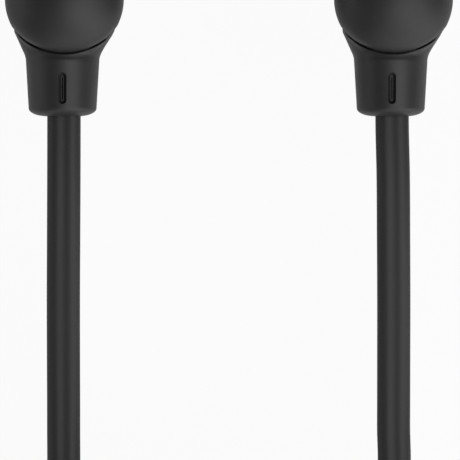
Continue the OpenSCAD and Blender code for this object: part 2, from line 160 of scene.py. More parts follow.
cordShape = {"width": 3.7, "thick": 2.4, "square": 0.92, "valley": 0.2, "valleyWidth": 0.6,
             "sides": 44, "fine": 6}
coilShape = {"at": (0, -83), "r": 25, "gap": 0.55, "layerGap": 0.45, "soft": 40, "step": 15}
pairTurns = 2
mainTurns = 5.5
exitY, neckZ = -8.9, 10.1
cordX = {"left": -18.2, "right": 18.0}
splitShape = {
    "top": -104, "length": 22, "width": 10, "endWidth": 6.4, "thick": 6, "z": 3.1,
    "wall": 1, "crown": 14, "round": 0.7, "seam": 0.12,
    "corner": 1.6, "cornerLoss": 0.6,  # radius, and what it loses for each mm inwards
    "lean": 8,  # of the long sides, in degrees
}
splitX = coilShape["at"][0] - coilShape["r"] + (cordShape["width"] + coilShape["gap"]) / 2
plugShape = {
    "x": -33.5, "top": -118, "z": 3.3, "relief": 9, "grip": 15, "gripR": 3.1, "pinR": 1.75,
    "ribs": 6, "ribRoot": 0.7, "ribTip": 0.5, "ribDeep": 0.3, "ribRound": 0.12,
    "rings": 5, "ringStep": 1.1, "ringLow": 0.04, "ringDeep": 0.2, "boreR": 1.45, "bore": 4,
}

runIn = {
    "left": [(-18.22, -16, 9.7), (-18.28, -23, 8.2), (-18.36, -30, 5.8), (-18.4, -37, 3.4),
             (-18.42, -44, 1.7), (-18.5, -51, 1.2), (-19.3, -58, 1.2), (-21.2, -65, 1.2),
             (-23.5, -71, 1.2), (-24.9, -76, 1.2)],
    "right": [(18.13, -16, 9.7), (18.2, -23, 8.2), (18.28, -30, 5.8), (18.32, -37, 3.4),
              (18.34, -44, 1.7), (18.3, -50, 1.2), (17.4, -53.8, 1.2), (15.1, -57.1, 1.2),
              (11.8, -59.2, 1.2), (8, -60, 1.2)],
}
runOut = {
    "left": [(-25, -92, 3.8), (-25, -98, 3.3)],
    "right": [(-20.9, -92, 3.8), (-20.9, -98, 3.3)],
}
mainRun = [(-22.9, -131, 2.6), (-22, -136, 1.7), (-19, -140.5, 1.2), (-14.5, -143.5, 1.2),
           (-9, -144.5, 1.2), (0, -144.5, 1.2), (9, -144.3, 1.2), (15, -142.8, 1.2),
           (20, -139, 1.2), (23, -133, 1.2), (24, -126, 1.5), (24, -118, 2.6),
           (24, -110, 4.2), (24, -102, 5.7), (24, -94, 6.7)]
plugRun = [(-24.7, -92, 9.3), (-26.8, -98, 8), (-29.7, -104, 6.1), (-32.3, -110, 4.3)]


def winding(start, end, refAngle, middle, outer, step, z):
    # in to the reversal at the middle angle and out again, one layer up in the half turn round it
    a = np.arange(start, end + 1, coilShape["step"], dtype=float)
    u, soft = a - middle, coilShape["soft"]
    fold = np.where(np.abs(u) < soft, u * u / (2 * soft) + soft / 2, np.abs(u))
    r = outer - step * (middle - refAngle) / 360 + step * fold / 360
    s = np.clip((u + 90) / 180, 0, 1)
    layer = cordShape["thick"] + coilShape["layerGap"]
    rad = np.radians(a)
    cx, cy = coilShape["at"]
    pts = np.stack([cx + r * np.cos(rad), cy + r * np.sin(rad), z + layer * s * s * (3 - 2 * s)], axis=-1)
    lead = cordShape["width"]
    t0 = np.array([-np.sin(rad[0]), np.cos(rad[0]), 0])
    t1 = np.array([-np.sin(rad[-1]), np.cos(rad[-1]), 0])
    return np.concatenate([[pts[0] - t0 * lead, pts[0] - t0 * lead / 3], pts,
                           [pts[-1] + t1 * lead / 3, pts[-1] + t1 * lead]])


def smoothLine(points, fine):
    # cubic curve through the points, each tangent weighted by its neighbours' distances
    p = np.array(points, dtype=float)
    h = np.linalg.norm(np.diff(p, axis=0), axis=1)[:, None]
    d = np.diff(p, axis=0) / h
    m = np.empty_like(p)
    m[1:-1] = (d[1:] * h[:-1] + d[:-1] * h[1:]) / (h[:-1] + h[1:])
    m[0], m[-1] = d[0], d[-1]
    t = np.linspace(0, 1, fine, endpoint=False)[None, :, None]
    a, b, ma, mb, hh = p[:-1, None], p[1:, None], m[:-1, None], m[1:, None], h[:, None]
    line = (a * (2 * t**3 - 3 * t**2 + 1) + b * (3 * t**2 - 2 * t**3)
            + hh * (ma * (t**3 - 2 * t**2 + t) + mb * (t**3 - t**2)))
    return np.concatenate([line.reshape(-1, 3), p[-1:]])


def tubeMesh(name, line):
    # oval section with a shallow valley down both faces, carried along the line with its width level, and
    # closed at each end; lay holds the direction round the cord and the length run so far in mm
    t = np.gradient(line, axis=0)
    t /= np.linalg.norm(t, axis=1)[:, None]
    side = np.cross(t, [0, 0, 1])
    side /= np.linalg.norm(side, axis=1)[:, None]
    up = np.cross(side, t)
    a = np.linspace(0, 2 * math.pi, cordShape["sides"], endpoint=False)
    across = cordShape["width"] / 2 * np.sign(np.cos(a)) * np.abs(np.cos(a)) ** cordShape["square"]
    full = cordShape["thick"] / 2 * np.abs(np.sin(a)) ** cordShape["square"]
    valley = cordShape["valley"] * np.exp(-(across / cordShape["valleyWidth"]) ** 2)
    high = np.sign(np.sin(a)) * (full - valley)
    grid = line[:, None] + side[:, None] * across[None, :, None] + up[:, None] * high[None, :, None]
    first, last = [np.repeat(end[:, None], len(a), 1) for end in (line[:1], line[-1:])]
    grid = np.concatenate([first, grid, last])
    run = np.concatenate([[0], np.cumsum(np.linalg.norm(np.diff(line, axis=0), axis=1))])
    run = np.concatenate([run[:1], run, run[-1:]])
    lay = np.stack([np.cos(a)[None] + 0 * run[:, None], np.sin(a)[None] + 0 * run[:, None],
                    0 * a[None] + run[:, None]], axis=-1)
    return tidyMesh(meshFromGrid(name, grid, lay), 60), run[-1] * mm


def addCords(materials):
    # each branch runs from its neck through its half of the wound pair to the splitter, and the main cord
    # from there through its own turns on top to the plug
    turn = cordShape["width"] + coilShape["gap"]
    layer = cordShape["thick"] + coilShape["layerGap"]
    low = cordShape["thick"] / 2
    stub = cordShape["width"] / 3
    last = 180 + 360 * pairTurns
    splitTop, splitEnd = splitShape["top"], splitShape["top"] - splitShape["length"]
    for side in sides:
        first, outer = (180, coilShape["r"]) if side == "left" else (90, coilShape["r"] - turn)
        wound = winding(first, last, 180, 180 + 180 * pairTurns, outer, 2 * turn, low)
        start = [(cordX[side], exitY, neckZ), (cordX[side], exitY - stub, neckZ)]
        end = [(wound[-1][0], splitTop + stub, splitShape["z"]), (wound[-1][0], splitTop, splitShape["z"])]
        route = np.concatenate([start, runIn[side], wound, runOut[side], end])
        line = smoothLine(route, cordShape["fine"])
        mesh, length = tubeMesh(side + "_branch_cord", line)
        piece = addPiece(side + "_branch_cord", mesh, materials["cord"],
                         nodes=[side + "_cord", side + "_coil", side + "_cord_end"])
        print("cord", side, round(length, 4))
    middle = 180 * mainTurns
    wound = winding(0, 2 * middle, 0, middle, coilShape["r"] - 1, turn, low + 2 * layer)
    start = [(splitX, splitEnd, splitShape["z"]), (splitX, splitEnd - stub, splitShape["z"])]
    plugX, plugTop, plugZ = plugShape["x"], plugShape["top"], plugShape["z"]
    end = [(plugX, plugTop + stub, plugZ), (plugX, plugTop, plugZ)]
    line = smoothLine(np.concatenate([start, mainRun, wound, plugRun, end]), cordShape["fine"])
    mesh, length = tubeMesh("main_cord_run", line)
    piece = addPiece("main_cord_run", mesh, materials["cord"],
                     nodes=["main_cord", "main_coil", "main_cord_end"])
    print("cord main", round(length, 4))


# earphone housings

headShape = {
    "r": 6.5, "x": 18.1, "y": 3.2, "z": 12.6,  # widest line and its middle
    "dome": 4.6, "brow": 2.7, "bowl": 5.0,  # heights of the cap, of the housing beside it, and underneath
    "proud": 0.06,  # how far the cap stands out
}
capShape = {
    "r": 7.28, "dy": 1.35, "gap": 0.2,  # arc of its cut edge, and the parting line's width
    "wall": 0.9, "round": 0.4, "chamfer": 0.04, "rimGap": 0.12,
    "tuck": 0.1, "groove": 0.7,  # the housing's rounded edge beside it, and the groove at its ends
}
neckShape = {
    "foot": -9.7, "start": -3.65, "r": 4.05, "endR": 3.75, "dx": -0.25, "z": 10.1,
    "footRound": (2.0, 0.88),
    "flare": 27, "fillet": 2.0, "flareEnd": -0.45, "tail": 3.55,
    "sag": 0.11, "sagSoft": 0.25,  # slope of the saddle on top, and the length of its soft start
}
joinShape = {
    "top": 0.35, "under": 0.9, "behind": 0.6,  # fillet between head and neck, and what it gains
    "underZ": 12.2, "behindZ": 11,  # heights from which it gains
}
slotShape = {
    "width": 0.94, "length": 3.5, "foot": 0.3, "depth": 0.6, "surface": 3.87, "dx": 0.06,
    "slit": 0.105, "slitLength": 2.4, "slitLow": 0.6,
    "seatRim": 0.9, "seatLow": 0.2, "seatHigh": 2.6,  # where the cloth behind it sits
}
nozzleShape = {
    "r": 2.6, "bore": 1.7, "mouth": 1.6, "top": 9.6,
    "groove": [(0, 1.1), (-0.25, 1.3), (-0.25, 2.4), (0, 2.6)],  # from its radius and its mouth
    "root": [(0, 6.4), (0.6, 7.05)],
}
tipRoom = {"top": 7.0, "play": 0.02, "slope": 0.5}  # flat underside that an ear tip's skirt comes up to
seatShape = {
    "r": 4.58, "floor": 10.4, "neckBore": 2.2,
    "mouthDepth": 0.8, "mouthPlay": 0.2, "mouthDx": -0.1,
    "leads": (0.72, 2.3), "leadY": -1.58,
}
tipShape = {
    "r": 5.7, "length": 6.6, "bore": 2.65, "sleeve": 3.15, "wall": 0.55,
    "belly": 3.4, "bellyZ": 4.4, "hem": 0.28, "hemZ": 0.8, "coreEnd": 0.9,
}
rayShape = {
    "halvings": 34, "tightest": 7.4,  # steps of each search, and the smallest radius that a row is bent to
    "topShare": 0.28,  # share of the columns above the parting line
    "endRows": 0.9, "endLike": 20,  # the foot's rows borrow the angles of this row of the neck
}


def ease(s):
    # cubic step from 0 to 1, level at both ends
    s = np.clip(s, 0, 1)
    return s * s * (3 - 2 * s)


def neckX(y):
    # the neck stands a little to one side, and comes to the head's middle line beyond the parting line
    return neckShape["dx"] * (1 - ease((y + 3) / 4))


def neckRadius(y):
    # rounded foot, slim taper, fillet, straight flare, then a tail that closes inside the head
    n = neckShape
    run, rise = n["footRound"][0], n["footRound"][1]
    foot = n["endR"] - run + run * np.sqrt(1 - np.clip(1 - (y - n["foot"]) / rise, 0, 1) ** 2)
    along = np.clip((y - n["foot"] - rise) / (n["start"] - n["foot"] - rise), 0, 1)
    taper = n["endR"] + (n["r"] - n["endR"]) * along
    a = math.radians(n["flare"])
    y1 = n["start"] + n["fillet"] * math.sin(a)
    r1 = n["r"] + n["fillet"] * (1 - math.cos(a))
    into = np.clip(y - n["start"], 0, n["fillet"] * math.sin(a))
    bend = n["fillet"] - np.sqrt(n["fillet"] ** 2 - into ** 2)
    flare = (r1 - n["r"]) + np.clip(y, y1, n["flareEnd"]) * math.tan(a) - y1 * math.tan(a)
    end = np.clip((y - n["flareEnd"] - 0.6) / (n["tail"] - n["flareEnd"]), 0, 1)
    grown = taper + np.where(y > y1, flare, bend)
    return np.where(y < n["foot"] + rise, foot, grown) * (1 - end) - 3 * end


def headField(x, y, z):
    # about the distance to the housing's part of the head: a low half ellipsoid above the widest line,
    # a deeper one below
    h = headShape
    high = np.where(z > h["z"], h["brow"], h["bowl"])
    q = np.sqrt((x * x + (y - h["y"]) ** 2) / h["r"] ** 2 + ((z - h["z"]) / high) ** 2)
    return (q - 1) * h["r"]


def bodyField(x, y, z):
    # head and neck in one, met by a fillet that is small on top and wide underneath; the flare widens
    # the neck sideways while its top sags towards the seam
    n, j = neckShape, joinShape
    rise = z - n["z"]
    into = np.clip(y - n["start"], 0, 1.2)
    sag = np.where(into < n["sagSoft"], into ** 2 / (2 * n["sagSoft"]), into - n["sagSoft"] / 2) * n["sag"]
    rise = np.where(rise > 0, rise * (1 + sag), rise)
    neck = np.sqrt((x - neckX(y)) ** 2 + rise ** 2) - neckRadius(y)
    head = headField(x, y, z)
    under, behind = ease((j["underZ"] - z) / 2), ease(y) * ease((j["behindZ"] - z) / 1.5)
    k = j["top"] + j["under"] * under + j["behind"] * behind
    mix = np.clip(k - np.abs(neck - head), 0, None) / k
    return np.minimum(neck, head) - mix * mix * k / 4


def solve(inside, outside, field):
    # bisection on whole arrays for the place where the field changes sign
    for _ in range(rayShape["halvings"]):
        mid = (inside + outside) / 2
        low = field(mid) < 0
        inside, outside = np.where(low, mid, inside), np.where(low, outside, mid)
    return inside


def rowY(y0, bend, x):
    # plan of a row: straight, or bent to run beside the cap's round edge
    r = np.maximum(headShape["y"] + capShape["dy"] - y0, rayShape["tightest"])
    return y0 + bend * (r - np.sqrt(np.clip(r * r - x * x, 0.01, None)))


def housingRows():
    # y on the middle line, bend, height of the cut plane, inset and depth of the end groove of each row
    h, n, tuck, groove = headShape, neckShape, capShape["tuck"], capShape["groove"]
    edge = h["y"] + capShape["dy"] - capShape["r"] - capShape["gap"]
    far = edge + capShape["gap"]
    plane, uncut = h["z"] - capShape["rimGap"] / 2, 99
    t = np.linspace(0, 1, 12)
    foot = n["foot"] + n["footRound"][1] * (1 - np.cos(t * math.pi / 2))
    neck = np.linspace(n["foot"] + n["footRound"][1], n["start"], 26)[1:]
    flare = np.linspace(n["start"], edge - tuck, 14)[1:]
    rounding = edge - tuck * (1 - np.sin(t[1::2] * math.pi / 2))
    backStart = math.asin((far - h["y"]) / h["r"])
    back = h["y"] + h["r"] * np.sin(np.linspace(backStart, math.pi / 2 - 0.02, 90))[1:]
    bendStart = n["start"] - 2
    rows = [(y, ease((y - bendStart) / (edge - tuck - bendStart)), uncut, 0, 0)
            for y in np.concatenate([foot, neck, flare])]
    insets = [tuck - math.sqrt(max(tuck ** 2 - (tuck - edge + y) ** 2, 0)) for y in rounding]
    rows += [(y, 1, uncut, inset, 0) for y, inset in zip(rounding, insets)]
    rows += [(edge, 1, plane, 0, groove), (far, 1, plane, 0, groove), (far, 1, plane, 0, 0)]
    rows += [(y, 1 - ease((y - far) / 7), plane, 0, 0) for y in back]
    return np.array(rows)


def housingGrid(cols=208):
    # each row is found by rays from a spine inside the body, in a sheet that stands on the row's plan
    h, n = headShape, neckShape
    rows = housingRows()
    y0, bend, plane, inset, groove = [rows[:, i:i + 1] for i in range(5)]
    rim = h["z"] - capShape["rimGap"] / 2
    depth = h["bowl"] * np.sqrt(np.clip(1 - ((y0 - h["y"]) / h["r"]) ** 2, 1e-5, 1))
    spineZ = np.where(y0 < h["y"], n["z"], np.maximum(n["z"], rim - 0.5 * depth))
    spineX = neckX(y0)

    def field(x, z):
        drop = groove * ease((np.abs(x) - 2.4) / 1.4)
        skin = bodyField(x, rowY(y0, bend, x), z) + inset * ease((z - rim) / 0.4)
        return np.maximum(skin, z - plane + drop)

    def atRim(x):
        return bodyField(x, rowY(y0, bend, x), rim)

    corner = []
    for way in (1, -1):
        across = solve(0 * y0, 0 * y0 + 7.5, lambda w: atRim(spineX + way * w))
        angle = np.arctan2(across, rim - spineZ)
        narrow = (y0 < n["foot"] + rayShape["endRows"]) | (across < 0.05)
        corner.append(np.where(narrow, angle[rayShape["endLike"]], angle))
    right, left = corner
    up = int(cols * rayShape["topShare"]) // 2 * 2
    s = np.linspace(0, 1, up // 2 + 1)[None, :-1]
    u = np.linspace(0, 1, cols - up + 1)[None, :-1]
    full = 2 * math.pi
    theta = np.concatenate([s * right, right + u * (full - right - left), full - left + s * left], axis=1)
    sin, cos = np.sin(theta), np.cos(theta)
    reach = solve(0 * theta, 0 * theta + 9.5, lambda w: field(spineX + w * sin, spineZ + w * cos))
    x = spineX + reach * sin
    grid = np.stack([x, rowY(y0, bend, x), spineZ + reach * cos], axis=-1)
    first = np.broadcast_to([n["dx"], n["foot"], n["z"]], (1, cols, 3))
    last = np.broadcast_to([0, h["y"] + h["r"] - 0.001, rim - 0.02], (1, cols, 3))
    return np.concatenate([first, grid, last])


def coverGrid(cols=288):
    # round the head's middle: dome, rounded rim, wall down, and the inner dome back to the middle
    h, c = headShape, capShape
    phi = np.linspace(0, 2 * math.pi, cols, endpoint=False)[None]
    lean = c["dy"] * np.sin(phi)
    toArc = lean + np.sqrt(lean ** 2 - c["dy"] ** 2 + c["r"] ** 2)
    outR, outH = h["r"] + h["proud"], h["dome"] + h["proud"]
    rim = h["z"] + c["rimGap"] / 2
    edge = np.minimum(toArc, outR - 0.01)
    inner = edge - c["wall"]
    quarter = math.pi / 2

    def top(r):
        return h["z"] + outH * np.sqrt(np.clip(1 - (r / outR) ** 2, 0, 1))

    soft = c["round"] * np.clip((top(edge) - rim) / 0.5, 0.1, 1)
    t = np.linspace(0, 1, 60)[:, None]
    dome = (edge - soft) * np.sin(t * quarter)
    a = np.linspace(0, quarter, 9)[1:, None]
    shoulder = edge - soft + soft * np.sin(a)
    shoulderZ = np.maximum(top(shoulder) - soft * (1 - np.cos(a)), rim + 0.01)
    wall = np.concatenate([edge, edge - c["chamfer"], inner])
    wallZ = np.concatenate([0 * edge + rim + c["chamfer"], 0 * edge + rim, 0 * edge + rim])
    inside = inner * np.cos(np.linspace(0, 1, 20)[1:, None] * quarter)
    insideZ = rim + (outH - c["wall"]) * np.sqrt(np.clip(1 - (inside / (outR - c["wall"])) ** 2, 0, 1))
    r = np.concatenate([dome, shoulder, wall, inside])
    z = np.concatenate([top(dome), shoulderZ, wallZ, insideZ])
    return np.stack([r * np.cos(phi), h["y"] + r * np.sin(phi), z], axis=-1)


def gridMesh(name, grid, angle=35):
    # a closed, smooth mesh from a grid, with edges sharper than the angle kept
    return tidyMesh(meshFromGrid(name, np.asarray(grid, dtype=float)), angle)


def stadium(width, length, low, high, grown=0, cols=48):
    # upright plug with rounded ends, from rings of one outline, the upper ring grown all round
    a = np.linspace(0, 2 * math.pi, cols, endpoint=False)

    def ring(more, z):
        w = width / 2 + more
        y = w * np.sin(a) + np.where(np.sin(a) >= 0, 1, -1) * (length - width) / 2
        return np.stack([w * np.cos(a), y, 0 * a + z], axis=-1)

    return np.array([ring(0, low) * [0, 0, 1], ring(0, low), ring(grown, high), ring(0, high) * [0, 0, 1]])


def carve(name, mesh, joined, cut, angle):
    # exact joins and cuts, then the result as a mesh of its own
    made = []
    for label, part in [(name, mesh)] + [("join", m) for m in joined] + [("cut", m) for m in cut]:
        obj = bpy.data.objects.new(label, part)
        scene.collection.objects.link(obj)
        made.append(obj)
    for obj, how in zip(made[1:], ["UNION"] * len(joined) + ["DIFFERENCE"] * len(cut)):
        change = made[0].modifiers.new(how.lower(), "BOOLEAN")
        change.operation = how
        change.solver = "EXACT"
        change.object = obj
    bpy.context.view_layer.update()
    done = bpy.data.meshes.new_from_object(made[0].evaluated_get(bpy.context.evaluated_depsgraph_get()))
    done.name = name
    for obj in made:
        bpy.data.objects.remove(obj)
    return tidyMesh(done, angle)


def nozzleProfile():
    # (radius, height) up the nozzle: mouth, groove that holds the ear tip, and a wider root
    z = nozzleShape
    rim = [(0, z["mouth"]), (z["r"] - 0.05, z["mouth"]), (z["r"], z["mouth"] + 0.25)]
    groove = [(z["r"] + dr, z["mouth"] + dz) for dr, dz in z["groove"]]
    root = [(z["r"] + dr, height) for dr, height in z["root"]]
    end = [(root[-1][0], z["top"]), (0, z["top"])]
    return roundCorners(rim + groove + root + end, [0, 0.2, 0.2] + [0.1] * 4 + [0.5, 0.1, 0, 0], 6)


def slotPieces(middle):
    # grooves to cut for the vent: a lean-sided one that follows the neck's taper, a slit in its floor, and
    # the seat of the cloth behind
    o, n = slotShape, neckShape
    floor = o["surface"] - o["depth"]
    slope = (o["width"] - o["foot"]) / 2 / o["depth"]
    groove = stadium(o["foot"], o["length"] - o["width"] + o["foot"], floor, o["surface"] + 1,
                     slope * (o["depth"] + 1))
    taper = (n["r"] - n["endR"]) / (n["start"] - n["foot"] - n["footRound"][1])
    groove[..., 2] += groove[..., 1] * taper
    slit = stadium(o["slit"], o["slitLength"], o["slitLow"], floor + 0.2)
    seat = stadium(o["width"] + o["seatRim"], o["length"] + o["seatRim"], o["seatLow"], o["seatHigh"])
    at = np.array([n["dx"] + o["dx"], middle, n["z"]])
    return seat + np.array([n["dx"], middle, n["z"]]), slit + at, groove + at


def housingMesh():
    # body by rays, nozzle turned on, then the seat, sound tube, neck bore, lead room, mouth and slot cut
    h, n, s = headShape, neckShape, seatShape
    centre, neckAt = (0, h["y"], 0), np.array([n["dx"], 0, n["z"]])

    def rod(r, low, high, at=centre, axis="z", cols=128):
        return gridMesh("rod", turned([(0, low), (r, low), (r, high), (0, high)], at, axis, cols))

    body = gridMesh("frontHousing", housingGrid())
    nozzle = gridMesh("nozzle", turned(nozzleProfile(), centre))
    roomR = h["r"] + tipRoom["play"]
    room = [(0, -1), (roomR, -1), (roomR, tipRoom["top"] - tipRoom["slope"]),
            (roomR - tipRoom["slope"], tipRoom["top"]), (0, tipRoom["top"])]
    mouth = stadium(cordShape["thick"] + s["mouthPlay"], cordShape["width"] + s["mouthPlay"], -1,
                    s["mouthDepth"] + 0.5)
    mouth = mouth[:, :, [1, 2, 0]] + np.array([s["mouthDx"], n["foot"], n["z"]])
    leads = stadium(*s["leads"], 0, 8)[:, :, [1, 0, 2]] + np.array([n["dx"], s["leadY"], n["z"]])
    seat, slit, groove = slotPieces((n["foot"] + n["start"]) / 2)
    first = carve("frontHousing", body, [], [gridMesh("tipRoom", turned(room, centre, cols=160))], 35)
    return carve("frontHousing", first, [nozzle], [
        rod(s["r"], s["floor"], 20), rod(nozzleShape["bore"], 0, s["floor"] + 1),
        rod(s["neckBore"], n["foot"] + s["mouthDepth"], h["y"] - 1, neckAt, "y", 96),
        gridMesh("mouth", mouth), gridMesh("leads", leads), gridMesh("seat", seat),
        gridMesh("slit", slit), gridMesh("groove", groove)], 32)


def tipGrid():
    # thin skirt of the ear tip over its sleeve, one closed turned wall
    t = tipShape
    w, belly, hem = t["wall"], t["belly"], t["hem"]
    middle = (t["r"] - belly, t["bellyZ"])
    start = arcPoints((t["sleeve"] - 0.1, 0.7), 0.7, -90, -45, 8)
    outside = arcPoints(middle, (belly, t["bellyZ"] - 0.35), -50, 0, 26)
    edge = arcPoints((t["r"] - hem, t["length"] - t["hemZ"]), (hem, t["hemZ"]), 10, 90, 8)
    lip = arcPoints((t["r"] - hem - w / 2, t["length"] - 0.05), (w / 2, 0.12), 90, 180, 5)
    inside = arcPoints(middle, (belly - w, t["bellyZ"] - 0.35 - w), 0, -50, 26)
    coreEnd = t["length"] - t["coreEnd"]
    core = roundCorners([(t["sleeve"], 1.75), (t["sleeve"], coreEnd), (t["bore"], coreEnd),
                         (t["bore"], 0.25), (t["bore"] + 0.2, 0)], [0, 0.2, 0.2, 0.1, 0], 5)
    profile = np.concatenate([start, outside, edge, lip, inside, core, start[:1]])
    return turned(profile, (0, headShape["y"], 0), cols=160)


def addEarphones(materials):
    # one mesh of each kind, copied to both sides
    housing = housingMesh()
    cover, tip = gridMesh("cover", coverGrid(), 40), gridMesh("earTip", tipGrid(), 40)
    print("housing made", len(housing.polygons))
    for side, way in sides.items():
        for label, mesh, slotName, body in (("front_housing", housing, "housing", "earphones"),
                                            ("rear_cover", cover, "housing", "earphones"),
                                            ("ear_tip", tip, "ear_tip", side + "_tip")):
            stood = side + "_" + label
            own = mesh.copy()
            own.transform(Matrix.Translation((way * headShape["x"] * mm, 0, 0)))
            addPiece(stood + "_look", own, materials[slotName], body, [stood])


# splitter and plug

def splitOutline(inset, cols=40):
    # rounded trapezium, wide where two cords enter, as (x, y) from the middle of its top edge
    s = splitShape
    wide, narrow, low = s["width"] / 2 - inset, s["endWidth"] / 2 - inset, s["length"] - inset
    c, lean = s["corner"] - inset * s["cornerLoss"], s["lean"]
    corners = [(wide - c, -inset - c, lean, 90), (c - wide, -inset - c, 90, 180 - lean),
               (c - narrow, c - low, 180 + lean, 270), (narrow - c, c - low, 270, 360 - lean)]
    points = np.concatenate([arcPoints((x, y), c, start, end, cols) for x, y, start, end in corners])
    ahead = np.concatenate([points, points[:1]])
    run = np.concatenate([[0], np.cumsum(np.linalg.norm(np.diff(ahead, axis=0), axis=1))])
    even = np.linspace(0, run[-1], 4 * cols, endpoint=False)
    return np.stack([np.interp(even, run, ahead[:, i]) for i in (0, 1)], axis=-1)


def shellGrid(up):
    # crown, rounded edge, wall down to the parting line, then the same inside, all on one outline
    s = splitShape
    soft, flat = s["round"], s["seam"] / 2
    outline, inner, inward = [splitOutline(inset) for inset in (0, s["wall"], soft)]
    mid = np.array([0, -s["length"] / 2])

    def crown(xy, drop):
        return s["thick"] / 2 - drop - (s["crown"] - np.sqrt(s["crown"] ** 2 - xy[..., 0] ** 2))

    def level(line, t, drop):
        xy = mid + (line - mid) * t
        return np.concatenate([xy, crown(xy, drop)[:, None]], axis=-1)

    rows = [level(outline, t, 0) for t in np.linspace(0, 0.84, 16)]
    for a in np.radians(np.linspace(0, 90, 8)):
        xy = inward + (outline - inward) * math.sin(a)
        rows.append(np.concatenate([xy, (crown(xy, 0) - soft * (1 - math.cos(a)))[:, None]], axis=-1))
    for line, z in ((outline, flat + 0.05), (outline + (inner - outline) * 0.06, flat), (inner, flat)):
        rows.append(np.concatenate([line, 0 * line[:, :1] + z], axis=-1))
    rows += [level(inner, t, s["wall"]) for t in np.linspace(1, 0, 14)]
    grid = np.array(rows) * [1, 1, 1 if up else -1]
    return grid + np.array([splitX, s["top"], s["z"]])


def alongPlug(profile, start, cols=96):
    # turned about the plug's axis; lengths run towards the pin's tip
    profile = np.array(profile, dtype=float) * [1, -1]
    return turned(profile, (plugShape["x"], start, plugShape["z"]), "y", cols)


def reliefProfile():
    # (radius, length) down the ribbed sleeve, each rib a little wider than the one before
    p = plugShape
    rib = p["relief"] / p["ribs"]
    root, tip = cordShape["thick"] / 2 + p["ribRoot"], p["gripR"] - p["ribTip"]
    points = [(0, 0)]
    for k in range(p["ribs"]):
        r, y = root + (tip - root) * k / (p["ribs"] - 1), k * rib
        inner = r - p["ribDeep"]
        points += [(r, y), (r, y + rib * 0.6), (inner, y + rib * 0.7), (inner, y + rib)]
    corners = [p["ribRound"]] * (len(points) - 1)
    return roundCorners(points + [(0, p["relief"])], [0] + corners + [0], 4)


def gripProfile():
    # (radius, length) down the grip: ringed barrel, then the end face and the bore round the pin
    p = plugShape
    end, r, hole, bore = p["grip"], p["gripR"], p["pinR"] + 0.02, p["boreR"]
    high, low = r - p["ringLow"], r - p["ringDeep"]
    rings = []
    for k in range(p["rings"]):
        y = end * 0.3 + k * p["ringStep"]
        rings += [(high, y), (low, y + 0.15), (low, y + 0.4), (high, y + 0.55)]
    shoulder = [(0, 0), (r - 0.1, 0), (r, 0.8)]
    foot = [(r - 0.1, end - 0.9), (r - 0.3, end), (hole, end), (hole, end - 0.3), (bore, end - 0.3),
            (bore, end - p["bore"]), (0, end - p["bore"])]
    return roundCorners(shoulder + rings + foot,
                        [0, 0.7, 0.4] + [0.1] * len(rings) + [0.6, 0.5, 0.05, 0.03, 0.03, 0, 0], 6)


def addFittings(materials):
    # both shells of the splitter, then the plug's sleeve and grip
    for name, up in (("splitter_upper_shell", True), ("splitter_lower_shell", False)):
        mesh = gridMesh(name, shellGrid(up), 30)
        addPiece(name + "_look", mesh, materials["housing"], nodes=[name])
    relief = gridMesh("relief", alongPlug(reliefProfile(), plugShape["top"]), 40)
    addPiece("plug_relief_look", relief, materials["cord_rubber"], nodes=["plug_relief"])
    grip = gridMesh("grip", alongPlug(gripProfile(), plugShape["top"] - plugShape["relief"]), 40)
    addPiece("plug_grip_look", grip, materials["housing"], nodes=["plug_grip"])


# materials

def wire(tree, *links):
    # each link is (from node, its output, to node, its input)
    for source, output, target, socket in links:
        tree.links.new(source.outputs[output], target.inputs[socket])


def node(tree, kind, **values):
    # sets sockets by their names, and everything else as the node's own settings
    made = tree.nodes.new(kind)
    for key, value in values.items():
        socket = key.replace("_", " ")
        if socket in made.inputs:
            made.inputs[socket].default_value = value
        else:
            setattr(made, key, value)
    return made


def grainGroup():
    # fine moulded grain and a slow drift of gloss, from Object coordinates
    group = bpy.data.node_groups.new("mouldedGrain", "ShaderNodeTree")
    face = group.interface
    for name, value in (("Grain Per Metre", 9000.0), ("Grain Depth", 2e-6), ("Rough Low", 0.35),
                        ("Rough High", 0.45), ("Drift Per Metre", 220.0)):
        made = face.new_socket(name=name, in_out="INPUT", socket_type="NodeSocketFloat")
        made.default_value = value
    for name, kind in (("Normal", "NodeSocketVector"), ("Roughness", "NodeSocketFloat"),
                       ("Shade", "NodeSocketFloat")):
        face.new_socket(name=name, in_out="OUTPUT", socket_type=kind)
    inp, out = node(group, "NodeGroupInput"), node(group, "NodeGroupOutput")
    coord = node(group, "ShaderNodeTexCoord")
    fine = node(group, "ShaderNodeTexNoise", Detail=2.0)
    drift = node(group, "ShaderNodeTexNoise", Detail=3.0)
    bump = node(group, "ShaderNodeBump", Strength=1.0)
    rough = node(group, "ShaderNodeMapRange", From_Min=0.3, From_Max=0.7)
    wire(group,
         (coord, "Object", fine, "Vector"), (coord, "Object", drift, "Vector"),
         (inp, "Grain Per Metre", fine, "Scale"), (inp, "Drift Per Metre", drift, "Scale"),
         (inp, "Grain Depth", bump, "Distance"), (fine, "Fac", bump, "Height"),
         (drift, "Fac", rough, "Value"), (inp, "Rough Low", rough, "To Min"),
         (inp, "Rough High", rough, "To Max"), (bump, "Normal", out, "Normal"),
         (rough, "Result", out, "Roughness"), (drift, "Fac", out, "Shade"))
    return group


def newMaterial(name, **values):
    # a Principled material, its own sockets set by name
    mat = bpy.data.materials.new(name)
    mat.use_nodes = True
    shader = mat.node_tree.nodes["Principled BSDF"]
    for key, value in values.items():
        shader.inputs[key.replace("_", " ")].default_value = value
    return mat, mat.node_tree, shader


